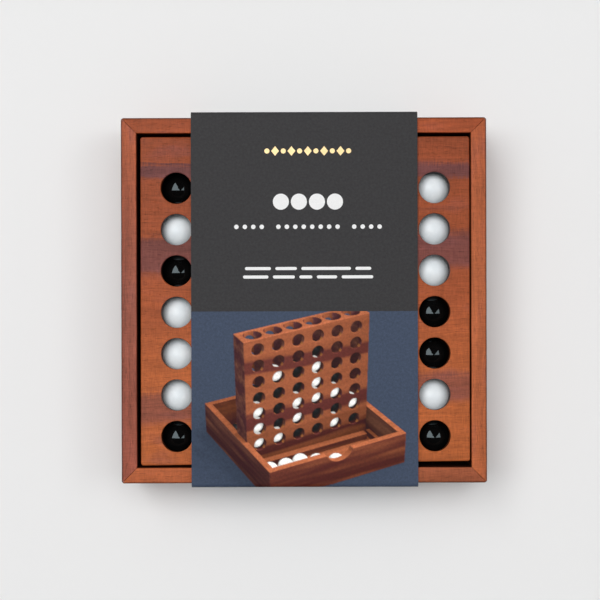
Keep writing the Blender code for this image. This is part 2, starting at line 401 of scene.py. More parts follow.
def wood(name, grain, tones, tone_axis, stripes=(), seed=0.0, tone_with_painted_light=False, painted_shade_above=None):
    """Oiled hardwood with its grain along X or Y, and its tones spread along an axis of the tray.

    Toned wood has an attribute, tone, that darkens its outer edges and mitre joints, paints shade on
    its hidden faces and in its bores, and paints a highlight along the tray walls' inner rims. Wood
    inside the tray gets painted shade above a given height, in millimetres. The scales of the figures
    are their cells in a millimetre, along the grain first.
    """
    shader = Shader(name, Specular_IOR_Level=0.2)
    x, y, z = shader.split(shader.millimetres())
    along, across = (x, y) if grain == "X" else (y, x)
    space = shader.join(shader.calc("ADD", along, seed * 31.0), shader.calc("ADD", across, seed * 7.0), z)

    drift = shader.noise(shader.stretch(space, (0.02, 0.1, 0.1)))
    centred = shader.calc("SUBTRACT", drift, 0.5)
    bent = shader.calc("MULTIPLY_ADD", centred, 9.0, across)
    streak = shader.noise(shader.join(shader.calc("MULTIPLY", along, 0.018), bent, z), 3.0, 0.6)
    fibre = shader.noise(shader.stretch(space, (0.28, 5.5, 5.5)), 2.0, 0.6)
    pore_space = shader.stretch(space, (0.4, 3.4, 3.4), (9.0, 3.0, 5.0))
    pore = shader.fade(shader.noise(pore_space, 1.0), 0.60, 0.70)
    ripple = shader.noise(shader.stretch(space, (1.7, 0.3, 0.3), (2.0, 8.0, 1.0)))
    ray = shader.noise(shader.stretch(space, (2.6, 0.35, 0.35), (4.0, 2.0, 6.0)), 2.0, 0.6)
    patch = shader.noise(shader.stretch(space, (0.05, 0.16, 0.16), (7.0, 1.0, 3.0)), 3.0, 0.55)

    half = TRAY_HALF * 1000
    spot = shader.calc("MULTIPLY_ADD", centred, half * 0.3, x if tone_axis == "X" else y)
    colour = shader.ramp(shader.fade(spot, -half, half, kind="LINEAR"), tones)
    ragged = shader.calc("MULTIPLY_ADD", shader.calc("SUBTRACT", streak, 0.5), 5.0, across)
    ragged = shader.calc("MULTIPLY_ADD", shader.calc("SUBTRACT", ray, 0.5), 2.5, ragged)
    for centre, width, soft, slope, strength in stripes:
        offset = shader.calc("SUBTRACT", shader.calc("MULTIPLY_ADD", along, -slope, ragged), centre)
        mask = shader.fade(shader.calc("ABSOLUTE", offset), width - soft, width + soft, strength, 0.0)
        colour = shader.mix(mask, colour, HEARTWOOD)
    colour = shader.mix(shader.fade(patch, 0.52, 0.8, 0.0, 0.45), colour, HEARTWOOD)

    # Each figure, the range of its values, and the shades that they give.
    figures = ((streak, 0.25, 0.75, 0.76, 1.22), (fibre, 0.2, 0.8, 0.78, 1.20),
               (ripple, 0.25, 0.75, 0.95, 1.05), (ray, 0.25, 0.75, 0.84, 1.16),
               (patch, 0.25, 0.75, 0.80, 1.20), (pore, 0.0, 1.0, 1.0, 0.68))
    shades = [shader.fade(*figure, "LINEAR") for figure in figures]
    # Painted shade and highlight, with darker edges and joints, from the tone attribute.
    if tone_with_painted_light:
        shades.append(shader.add("Attribute", {}, "Fac", attribute_name="tone"))
    # Painted shade above the given height inside the tray.
    if painted_shade_above:
        shades.append(shader.fade(z, painted_shade_above, painted_shade_above + SUNKEN_RISE, 1.0, SUNKEN_PAINTED_SHADE))
    shade = shades[0]
    for further in shades[1:]:
        shade = shader.calc("MULTIPLY", shade, further)
    colour = shader.shaded(colour, shade)
    height = shader.calc("MULTIPLY_ADD", pore, -1.0, fibre)
    return shader.finish(colour, shader.fade(fibre, 0.2, 0.8, 0.42, 0.58), height, 0.00003)


def glass(name, tone, deep_tone, polish, **sockets):
    """Glass marble: near even colour with faint clouds, and a polish that varies between two values."""
    shader = Shader(name, **sockets)
    place = shader.millimetres()
    cloud = shader.noise(shader.stretch(place, (0.22, 0.22, 0.22)), 3.0)
    colour = shader.mix(shader.fade(cloud, 0.3, 0.7), tone, deep_tone)
    smear = shader.noise(shader.stretch(place, (0.9, 0.9, 0.9), (5.0, 1.0, 2.0)), 3.0, 0.6)
    return shader.finish(colour, shader.fade(smear, 0.35, 0.8, *polish))


def card_material():
    """Uncoated card. Its print is the mesh's own colour, over a fine fibre."""
    shader = Shader("printed_card", Specular_IOR_Level=0.25)
    place = shader.millimetres()
    ink = shader.add("Attribute", {}, "Color", attribute_name="print")
    fibre = shader.noise(shader.stretch(place, (3.2, 3.2, 3.2)), 3.0, 0.65)
    mottle = shader.noise(shader.stretch(place, (1.1, 1.1, 1.1), (3.0, 7.0, 1.0)), 2.0, 0.6)
    shade = shader.calc("MULTIPLY", shader.fade(fibre, 0.25, 0.75, 0.82, 1.18, "LINEAR"),
                        shader.fade(mottle, 0.25, 0.75, 0.82, 1.18, "LINEAR"))
    return shader.finish(shader.shaded(ink, shade), shader.fade(fibre, 0.2, 0.8, 0.55, 0.7), fibre, 0.00003)


def raised_ink(name, colour, **sockets):
    """Ink or foil on the card: slightly uneven, as it follows the card's fibre."""
    shader = Shader(name, **sockets)
    fibre = shader.noise(shader.stretch(shader.millimetres(), (3.2, 3.2, 3.2)), 3.0, 0.65)
    shade = shader.fade(fibre, 0.25, 0.75, 0.92, 1.05, "LINEAR")
    return shader.finish(shader.shaded(colour, shade), None, fibre, 0.00001)


# ---------------------------------------------------------------- tray


def notch_arc():
    """Radius of the finger notch and how high its centre is above the tray's bottom."""
    half = NOTCH_WIDTH / 2
    radius = (half * half + NOTCH_DEPTH * NOTCH_DEPTH) / (2 * NOTCH_DEPTH)
    return radius, TRAY_HEIGHT - NOTCH_DEPTH + radius


def wall_half_plan(with_notch):
    """Right half of the rear wall, middle to mitre: outer point, outer normal, inner point and top.

    The lip of the notch turns over into the top in two short steps.
    """
    inner_y = CAVITY_HALF
    straight_end = CAVITY_HALF - CORNER_RADIUS / 2
    stations = []
    start = 0.0
    if with_notch:
        radius, centre = notch_arc()
        lip = math.asin(NOTCH_WIDTH / 2 / radius)
        for angle in spread(0.0, lip, WALL_STEPS):
            stations.append((radius * math.sin(angle), centre - radius * math.cos(angle)))
        start = NOTCH_WIDTH / 2 + LIP_SOFTNESS
        stations[-1] = (NOTCH_WIDTH / 2 + LIP_SOFTNESS / 6, TRAY_HEIGHT - LIP_SOFTNESS / 2.5)
        stations.append((NOTCH_WIDTH / 2 + LIP_SOFTNESS / 2, TRAY_HEIGHT - LIP_SOFTNESS / 10))
    stations += [(x, TRAY_HEIGHT) for x in spread(start, straight_end, WALL_STEPS)]
    plan = [(Vector((x, TRAY_HALF)), Vector((0, 1)), Vector((x, inner_y)), top) for x, top in stations]

    arc_centre = TRAY_HALF - CORNER_RADIUS
    mitre = MITRE_GAP / math.sqrt(2)
    end_angle = math.pi / 4 + math.asin(mitre / math.sqrt(2) / CORNER_RADIUS)
    angles = spread(math.pi / 2, end_angle, ARC_STEPS)
    inner_x = spread(straight_end, inner_y - mitre, len(angles))[1:]
    for angle, x in zip(angles, inner_x):
        normal = Vector((math.cos(angle), math.sin(angle)))
        outer = Vector((arc_centre, arc_centre)) + normal * CORNER_RADIUS
        plan.append((outer, normal, Vector((x, inner_y)), TRAY_HEIGHT))
    plan[-1] = (*plan[-1][:3], TRAY_HEIGHT - MITRE_EASE)
    return plan


def wall_section(outer, normal, inner, top, wobble):
    """Cross section of a wall between two plan points: point, height and tone."""
    across = (inner - outer).normalized()
    outer_scale = 1 / max(abs(across.dot(normal)), LEAST_SLANT)
    inner_scale = 1 / max(abs(across.y), LEAST_SLANT)
    outer = outer + across * max(wobble, 0.0)
    inner = inner + across * wobble
    # Painted highlight along the inner rim, painted shade down the inner side; outer side and rim darker.
    section = [(outer + across * BOTTOM_EASE, 0.0, FOOT_TONE), (outer, BOTTOM_EASE, OUTSIDE_TONE),
               (outer, top - EDGE_SHADE, OUTSIDE_TONE)]
    for angle in quarter():
        pull = OUTER_EASE * (1 - math.cos(angle)) * outer_scale
        tone = OUTER_RIM_TONE + (1 - OUTER_RIM_TONE) * (angle / math.pi * 2) ** 2
        section.append((outer + across * pull, top - OUTER_EASE * (1 - math.sin(angle)), tone))
    for angle in reversed(quarter()):
        pull = INNER_EASE * (1 - math.cos(angle)) * inner_scale
        section.append((inner - across * pull, top - INNER_EASE * (1 - math.sin(angle)), INNER_RIM_PAINTED_HIGHLIGHT))
    section += [(inner, top - EDGE_SHADE, UPPER_INSIDE_PAINTED_SHADE), (inner, top - 3 * EDGE_SHADE, INSIDE_PAINTED_SHADE),
                (inner, BOTTOM_EASE, INSIDE_PAINTED_SHADE), (inner - across * BOTTOM_EASE, 0.0, FOOT_TONE)]
    return section


def wall_mesh(name, quarters, with_notch):
    """The rear wall's shape, turned by quarters about the tray's middle, with its tones."""
    right = wall_half_plan(with_notch)
    mirror = Matrix(((-1, 0), (0, 1)))
    left = [(mirror @ outer, mirror @ normal, mirror @ inner, top)
            for outer, normal, inner, top in right[:0:-1]]
    turn = Matrix.Translation(TRAY_ORIGIN) @ Matrix.Rotation(quarters * math.pi / 2, 4, "Z")
    rings = []
    tones = []
    for outer, normal, inner, top in left + right:
        wobble = HAND_WOBBLE * noise.noise(Vector((outer.x * WOBBLE_SCALE, quarters * 5.0, 1.0)))
        section = wall_section(outer, normal, inner, top, wobble)
        rings.append([turn @ Vector((p.x, p.y, z)) for p, z, _ in section])
        at_mitre = top < TRAY_HEIGHT and abs(outer.x) > CAVITY_HALF
        tones += [min(tone, SEAM_TONE) if at_mitre else tone for _, _, tone in section]
    bm = bmesh.new()
    loft(bm, rings)
    mesh = finished_mesh(name, bm)
    mesh.attributes.new("tone", "FLOAT", "POINT").data.foreach_set("value", tones)
    return mesh


def build_tray():
    """Walls, floor and rests. Each wall has its own figure, with tones from its low end to its high end."""
    walls = (
        ("tray_rear_wall", "X", [(0.31, 0.066, 0.021), (0.31, 0.065, 0.020), (0.335, 0.070, 0.022)]),
        ("tray_left_wall", "Y", [(0.306, 0.078, 0.045), (0.27, 0.077, 0.048), (0.37, 0.087, 0.031)]),
        ("tray_front_wall", "X", [(0.41, 0.101, 0.032), (0.36, 0.092, 0.032), (0.265, 0.070, 0.030)]),
        ("tray_right_wall", "Y", [(0.41, 0.105, 0.035), (0.374, 0.098, 0.034), (0.367, 0.087, 0.030)]),
    )
    for quarters, (name, grain, tones) in enumerate(walls):
        finish = wood("wood_" + name, grain, tones, grain, seed=quarters + 1.0, tone_with_painted_light=True)
        item = link("fine_" + name, wall_mesh(name, quarters, name == "tray_front_wall"), finish)
        even_normals(stand_for(item, name, "tray"))

    # The floor and rests are darker than the walls, partly as painted shade for the gaps where they show,
    # and get more painted shade above the floor's underside.
    plain = [(0.20, 0.055, 0.022), (0.24, 0.062, 0.024)]
    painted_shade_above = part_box("tray_floor")[0].z * 1000 + SUNKEN_RISE
    flat_wood = {axis: wood("wood_inside_" + axis.lower(), axis, plain, "X", seed=6.0, painted_shade_above=painted_shade_above)
                 for axis in "XY"}
    for name in ("tray_floor", "slot_bar_front", "slot_bar_rear",
                 "rail_left_front", "rail_left_rear", "rail_right_front", "rail_right_rear"):
        low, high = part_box(name)
        axis = "Y" if name.startswith("rail") else "X"
        mesh = board_mesh(name, rectangle(low, high), low.z, high.z, REST_EASE * 2, REST_EASE, REST_EASE)
        item = link("fine_" + name, mesh, flat_wood[axis])
        even_normals(stand_for(item, name, "tray"))


# ---------------------------------------------------------------- frame


def front_edge(x):
    """Y of the frame's front edge."""
    share = (x - FRAME_LOW.x) / (FRAME_HIGH.x - FRAME_LOW.x)
    return FRAME_LOW.y + OUT_OF_SQUARE * share


def window_cutter(face_z, outward):
    """Windows through one board, flared a little where they meet its face."""
    bm = bmesh.new()
    profile = flared(WINDOW_RADIUS, WINDOW_EASE, SEAM_Z, face_z, outward, WINDOW_EASE)
    for x in COLUMN_X:
        for row in range(ROWS):
            y = REAR_ROW_Y - row * ROW_PITCH
            turned(bm, profile, lambda a, b, h, x=x, y=y: (x + a, y + b, h))
    return link("window_cutter", finished_mesh("window_cutter", bm))


def bore_cutter():
    """Six bores from the front edge, with eased mouths."""
    bm = bmesh.new()
    for x in COLUMN_X:
        profile = flared(BORE_RADIUS, BORE_EASE, BORE_END, front_edge(x), -1, BORE_EASE * 4)
        turned(bm, profile, lambda a, b, h, x=x: (x + a, h, SEAM_Z + b))
    return link("bore_cutter", finished_mesh("bore_cutter", bm))


def shade_bores(item, face_z):
    """Store the tone of the wood: painted shade in the windows and the bores."""
    tones = []
    for vertex in item.data.vertices:
        spot = vertex.co
        depth = abs(face_z - spot.z)
        near_bore = min(abs(spot.x - x) for x in COLUMN_X) < BORE_RADIUS
        bored = near_bore and front_edge(spot.x) + 2 * BORE_EASE < spot.y < BORE_END + BORE_EASE
        if not bored or depth < FACE_DEPTH:
            tones.append(1.0)
        else:
            tones.append(RIM_PAINTED_SHADE if depth < RIM_DEPTH else BORE_PAINTED_SHADE)
    item.data.attributes.new("tone", "FLOAT", "POINT").data.foreach_set("value", tones)


def build_frame():
    """Two boards, glued face to face. The lower one is the upper one's mirror image."""
    tones = [(0.395, 0.099, 0.025), (0.455, 0.114, 0.030), (0.365, 0.082, 0.025), (0.30, 0.065, 0.020),
             (0.27, 0.057, 0.018)]
    finish = wood("wood_frame", "X", tones, "Y", FRAME_STRIPES, tone_with_painted_light=True)
    corners = rectangle(FRAME_LOW, FRAME_HIGH)
    for corner in corners[:2]:
        corner.y = front_edge(corner.x)
    # Name, bottom, top, ease at the bottom, ease at the top, and which way the outer face looks.
    boards = (("frame_back_half", FRAME_LOW.z, SEAM_Z - SEAM_GAP / 2, BOARD_EASE, SEAM_EASE, -1),
              ("frame_front_half", SEAM_Z + SEAM_GAP / 2, FRAME_HIGH.z, SEAM_EASE, BOARD_EASE, 1))
    for name, bottom, top, ease_bottom, ease_top, outward in boards:
        mesh = board_mesh(name, corners, bottom, top, FRAME_CORNER_RADIUS, ease_bottom, ease_top)
        item = link("fine_" + name, mesh, finish)
        face = top if outward > 0 else bottom
        carve(item, [bore_cutter(), window_cutter(face, outward)])
        shade_bores(item, face)
        even_normals(stand_for(item, name, "frame"))


# ---------------------------------------------------------------- marbles


def marble_mesh(name, centre, radius, rng):
    """Pressed glass ball: a touch out of round, with one tiny pit where it was cut off."""
    bm = bmesh.new()
    bmesh.ops.create_icosphere(bm, subdivisions=MARBLE_DETAIL, radius=1.0)
    pole = Vector((rng.uniform(-1, 1), rng.uniform(-1, 1), rng.uniform(-1, 1))).normalized()
    drift = Vector((rng.uniform(0, 50), rng.uniform(0, 50), rng.uniform(0, 50)))
    for vertex in bm.verts:
        way = vertex.co.normalized()
        near_pole = max(0.0, way.dot(pole) - (1 - PIT_REACH)) / PIT_REACH
        uneven = MARBLE_UNEVEN * (1 + noise.noise(way * UNEVEN_SCALE + drift)) / 2
        vertex.co = centre + way * (radius - uneven - MARBLE_PIT * near_pole * near_pole)
    return finished_mesh(name, bm)


def build_marbles():
    """One ball for each CAD marble, a little to one side in its bore, in its CAD node's colour."""
    white = glass("white_glass", (0.80, 0.84, 0.86), (0.76, 0.81, 0.84), (0.2, 0.35),
                  Specular_IOR_Level=0.3)
    black = glass("black_glass", (0.0025, 0.0022, 0.0022), (0.003, 0.003, 0.003), (0.02, 0.06),
                  Specular_IOR_Level=0.42, Specular_Tint=(0.78, 0.94, 1.0, 1.0))
    rng = random.Random(MARBLE_SEED)
    for node in MARBLES:
        low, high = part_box(node)
        is_black = "black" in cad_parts[node].data.materials[0].name
        middle = (low + high) / 2
        drift = rng.uniform(-MARBLE_DRIFT / 3, MARBLE_DRIFT)
        centre = middle - Vector((math.copysign(drift, middle.x * drift), 0, 0))
        mesh = marble_mesh(node, centre, (high.x - low.x) / 2, rng)
        item = link("fine_" + node, mesh, black if is_black else white)
        body = "marbles_" + node.split("_")[1]
        stand_for(item, node, body)


# ---------------------------------------------------------------- printed picture

# The picture shows the game set up for play. Its own space has its origin at the tray's
# front left bottom corner, with X to the right, Y away and Z up.
PLAY_EYE = Vector((-0.2884, -0.5947, 0.4571))
PLAY_VIEW = Vector((0.413, 0.769, -0.488)).normalized()
PLAY_FOCUS = 0.3508
PLAY_CENTRE = Vector((TRAY_ORIGIN.x - 0.0002, TRAY_ORIGIN.y - 0.0383))
PLAY_FRAME = Vector((0.0040, 0.0503, 0.0059))

# Marbles in the standing frame, top row first, and loose ones on the tray's floor.
PLAY_BOARD = ("......", "...B..", ".WBW..", "BBBWB.", "WBWWW.", "WBWBBW", "WWBBWB")
PLAY_LOOSE = ((0.0148, 0.0290, "W"), (0.0293, 0.0282, "W"), (0.0432, 0.0289, "W"), (0.0556, 0.0223, "W"),
              (0.0700, 0.0150, "W"), (0.0165, 0.1000, "B"))

# Its light: a soft key light, and an even sky with the given share of the whole.
PLAY_LIGHT = Vector((0.38, -0.48, 0.79)).normalized()
KEY_FOCUS = 5
PLAY_SKY = 0.25
LIGHT_SAMPLES = 44

# Points that differ from a neighbour by more than EDGE_CONTRAST are traced again round themselves.
EDGE_CONTRAST = 0.035
SUBPIXELS = ((-1, -0.6), (0.6, -1), (1, 0.6), (-0.6, 1))
SUBPIXEL_REACH = 0.27

# How its surfaces take the light. Upright wood darkens toward the ground.
SURFACE_LIFT = 0.0003
FOOT_SHADE = 0.42
FOOT_REACH = 0.06
GROUND_SHADE = 0.5
WHITE_SHADE = 0.5
WHITE_GAIN = 1.3
WHITE_LIMIT = 1.08
WOOD_GLOW = 0.12
PLAIN_GLOW = 0.04
GLOSS_FOCUS = 30
GLOSS_STRENGTH = 0.35

# Its colours, and how uneven its wood is.
PRINTED_WOOD = Vector((0.54, 0.163, 0.074))
PRINTED_HEARTWOOD = Vector((0.225, 0.058, 0.049))
PRINTED_SIDE_TINT = Vector((1.05, 1.40, 1.9))
PRINTED_TOP_TINT = Vector((1.15, 1.38, 1.02))
PRINTED_RIM_TINT = Vector((0.96, 0.95, 0.90))
PRINTED_WHITE = Vector((0.95, 0.94, 0.90))
PRINTED_BLACK = Vector((0.034, 0.036, 0.039))
PRINTED_GROUND = Vector((0.059, 0.078, 0.121))
PRINTED_GRAIN = 0.16
PRINTED_FIGURE = 0.22
BAND_MARGIN = 2.2
BAND_SOFTNESS = 3
BAND_STRENGTH = 0.35
OUTER_HEART = 0.8
INNER_HEART = 0.35
WALL_EDGE = 0.001


class PlayScene:
    """The surfaces that the picture shows, ready for tracing."""

    def __init__(self):
        self.points = []
        self.faces = []
        self.kinds = []
        self.balls = []

    def add(self, mesh, place, kind):
        """Add a mesh, moved by a matrix. Kind says how its hits are coloured."""
        start = len(self.points)
        self.points += [place @ vertex.co for vertex in mesh.vertices]
        mesh.calc_loop_triangles()
        self.faces += [[start + i for i in face.vertices] for face in mesh.loop_triangles]
        self.kinds += [kind] * len(mesh.loop_triangles)

    def add_ball(self, mesh, centre, letter):
        self.add(mesh, Matrix.Translation(centre), (letter, len(self.balls)))
        self.balls.append(centre)

    def build(self):
        self.tree = BVHTree.FromPolygons(self.points, self.faces, all_triangles=True)


def play_scene():
    """The tray lying flat, the frame stood up across it, and the marbles of both."""
    scene = PlayScene()
    to_play = Matrix.Translation(-TRAY_LOW)
    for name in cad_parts:
        if name.startswith(("tray_", "rail_", "slot_")):
            scene.add(bpy.data.objects["fine_" + name].data, to_play, ("tray", 0))
    stand = Matrix(((-1, 0, 0, PLAY_FRAME.x + FRAME_HIGH.x), (0, 0, -1, PLAY_FRAME.y + FRAME_HIGH.z),
                    (0, -1, 0, PLAY_FRAME.z + FRAME_HIGH.y), (0, 0, 0, 1)))
    for name in ("frame_back_half", "frame_front_half"):
        scene.add(bpy.data.objects["fine_" + name].data, stand, ("frame", 0))

    low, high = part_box(MARBLES[0])
    radius = (high.x - low.x) / 2
    bm = bmesh.new()
    bmesh.ops.create_icosphere(bm, subdivisions=3, radius=radius)
    ball = finished_mesh("printed_ball", bm)
    for row, letters in enumerate(PLAY_BOARD):
        y = REAR_ROW_Y - (ROWS - 1 - row) * ROW_PITCH
        for x, letter in zip(reversed(COLUMN_X), letters):
            if letter in "BW":
                scene.add_ball(ball, stand @ Vector((x, y, SEAM_Z)), letter)
    floor_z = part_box("tray_floor")[1].z - TRAY_LOW.z
    for x, y, letter in PLAY_LOOSE:
        scene.add_ball(ball, Vector((x, y, floor_z + radius)), letter)
    bpy.data.meshes.remove(ball)
    scene.build()
    return scene


def play_lights():
    """Directions over the upper half space, with the light that comes from each."""
    lights = []
    golden_turn = math.pi * (3 - math.sqrt(5))
    for i in range(LIGHT_SAMPLES):
        height = (i + 0.5) / LIGHT_SAMPLES
        flat = math.sqrt(1 - height * height)
        way = Vector((flat * math.cos(i * golden_turn), flat * math.sin(i * golden_turn), height))
        lights.append((way, max(0.0, way.dot(PLAY_LIGHT)) ** KEY_FOCUS))
    sky_total = sum(way.z for way, _ in lights)
    key_total = sum(way.z * key for way, key in lights)
    return [(way, PLAY_SKY / sky_total + (1 - PLAY_SKY) * key / key_total) for way, key in lights]


def clamped(value):
    return max(0.0, min(1.0, value))


def printed_wood(spot, normal, kind):
    """Colour of the wood at a point of the play scene.

    The frame's face has the frame's bands and dims toward its right. Side faces are streaked with
    heartwood.
    """
    side = abs(normal.x) > 0.5
    along, across = (spot.y, spot.x) if side and kind == "tray" else (spot.x, spot.y)
    grain = noise.noise(Vector((along * 25, across * 300, spot.z * 300)))
    figure = noise.noise(Vector((along * 7, across * 90, spot.z * 110)))
    colour = PRINTED_WOOD * (1 + PRINTED_GRAIN * grain + PRINTED_FIGURE * figure)
    if kind == "frame" and not side:
        down = (FRAME_HIGH.y + PLAY_FRAME.z - spot.z) * 1000
        from_left = spot.x - PLAY_FRAME.x
        for centre, width, _, slope, strength in FRAME_STRIPES:
            offset = down + 4 * figure + 2 * grain - centre - slope * from_left * 1000
            mask = clamped((width + BAND_MARGIN - abs(offset)) / BAND_SOFTNESS)
            colour = colour.lerp(PRINTED_HEARTWOOD, mask * min(1.0, strength + BAND_STRENGTH))
        share = from_left / (FRAME_HIGH.x - FRAME_LOW.x)
        colour = colour * (0.92 - 0.35 * max(0.0, share - 0.5))
    elif abs(normal.z) < 0.5:
        outer = kind == "frame" or spot.x < WALL_EDGE or spot.y < WALL_EDGE
        heart = (OUTER_HEART if outer else INNER_HEART) - 0.9 * figure - 0.4 * grain
        colour = colour.lerp(PRINTED_HEARTWOOD, clamped(heart))
        if normal.x < -0.5:
            colour = colour * PRINTED_SIDE_TINT
    else:
        colour = colour * (PRINTED_RIM_TINT if kind == "tray" else PRINTED_TOP_TINT)
    return colour


def trace(scene, lights, eye, way):
    """Colour that the picture shows along one ray."""
    spot, normal, index, _ = scene.tree.ray_cast(eye, way)
    if spot is None:
        spot = eye + way * (eye.z / -way.z)
        normal = Vector((0, 0, 1))
        colour = PRINTED_GROUND
        kind = "ground"
    else:
        kind, ball = scene.kinds[index]
        if kind in "BW":
            normal = (spot - scene.balls[ball]).normalized()
            colour = PRINTED_WHITE if kind == "W" else PRINTED_BLACK
        else:
            if normal.dot(way) > 0:
                normal = -normal
            colour = printed_wood(spot, normal, kind)
    start = spot + normal * SURFACE_LIFT
    light = 0.0
    gloss = 0.0
    mirror = way.reflect(normal)
    for toward, strength in lights:
        facing = toward.dot(normal)
        if facing > 0 and scene.tree.ray_cast(start, toward)[0] is None:
            light += strength * facing
            gloss += strength * max(0.0, toward.dot(mirror)) ** GLOSS_FOCUS
    wooden = kind in ("tray", "frame")
    if wooden and abs(normal.z) < 0.5:
        rise = clamped(spot.z / FOOT_REACH)
        light *= FOOT_SHADE + (1 - FOOT_SHADE) * rise * rise * (3 - 2 * rise)
    if kind == "ground":
        light = GROUND_SHADE + (1 - GROUND_SHADE) * light
    if kind == "W":
        light = min(WHITE_LIMIT, WHITE_SHADE + light * WHITE_GAIN)
    light += WOOD_GLOW if wooden else PLAIN_GLOW
    sheen = GLOSS_STRENGTH * gloss if kind == "B" else 0.0
    return [channel * light + sheen for channel in colour]


def picture(xs, ys):
    """Colours of the printed picture at the crossings of columns xs and rows ys on the card."""
    scene = play_scene()
    lights = play_lights()
    right = PLAY_VIEW.cross(Vector((0, 0, 1))).normalized()
    up = right.cross(PLAY_VIEW)

    def colour_at(x, y):
        way = PLAY_VIEW * PLAY_FOCUS + right * (x - PLAY_CENTRE.x) + up * (y - PLAY_CENTRE.y)
        return trace(scene, lights, PLAY_EYE, way.normalized())

    colours = np.array([[colour_at(x, y) for x in xs] for y in ys])
    across = np.abs(np.diff(colours, axis=1)).max(axis=2) > EDGE_CONTRAST
    along = np.abs(np.diff(colours, axis=0)).max(axis=2) > EDGE_CONTRAST
    edges = np.zeros(colours.shape[:2], bool)
    edges[:, 1:] |= across
    edges[:, :-1] |= across
    edges[1:] |= along
    edges[:-1] |= along
    step = (xs[1] - xs[0]) * SUBPIXEL_REACH
    for row, column in zip(*np.nonzero(edges)):
        around = [colour_at(xs[column] + a * step, ys[row] + b * step) for a, b in SUBPIXELS]
        colours[row, column] = np.mean(around, axis=0)
    return np.maximum(colours - CARD_SHEEN, DARKEST_PRINT)


# ---------------------------------------------------------------- sleeve


def card_wave(x, y):
    """How far the card's top stands off flat. It lies flat at its folds."""
    middle = (SLEEVE_LOW.y + SLEEVE_HIGH.y) / 2
    share = (y - middle) / (SLEEVE_HIGH.y - middle)
    return CARD_WAVE * noise.noise(Vector((x * WAVE_SCALE, y * WAVE_SCALE, 3.0))) * (1 - share ** 4)


def sleeve_stations(inset, picture_rows):
    """Stations (y, z) round the loop: top from rear to front, front side, underside, rear side.

    The outer stations step down at the lap, where the card's end is glued on underneath.
    """
    radius = BEND_RADIUS - inset
    rear = SLEEVE_HIGH.y - BEND_RADIUS
    front = SLEEVE_LOW.y + BEND_RADIUS
    high = SLEEVE_HIGH.z - BEND_RADIUS
    low = SLEEVE_LOW.z + BEND_RADIUS
    stations = [(y, high + radius) for y in spread(rear, PICTURE_TOP, PLAIN_ROWS)[:-1]]
    stations += [(y, high + radius) for y in spread(PICTURE_TOP, front, picture_rows)]
    stations += [(front - radius * math.sin(a), high + radius * math.cos(a)) for a in quarter()[1:]]
    stations += [(front - radius, z) for z in spread(high, low, SIDE_ROWS)[1:]]
    stations += [(front - radius * math.cos(a), low - radius * math.sin(a)) for a in quarter()[1:]]
    stations += [(y, low - radius) for y in spread(front, LAP_Y, UNDER_ROWS)[1:]]
    lap = LAP_STEP if inset == 0 else 0.0
    stations += [(LAP_Y + LAP_STEP / 2, low - radius + lap), (rear - LAP_MARGIN, low - radius + lap)]
    stations += [(rear, low - radius)]
    stations += [(rear + radius * math.sin(a), low - radius * math.cos(a)) for a in quarter()[1:]]
    stations += [(rear + radius, z) for z in spread(low, high, SIDE_ROWS)[1:]]
    stations += [(rear + radius * math.cos(a), high + radius * math.sin(a)) for a in quarter()[1:-1]]
    return stations


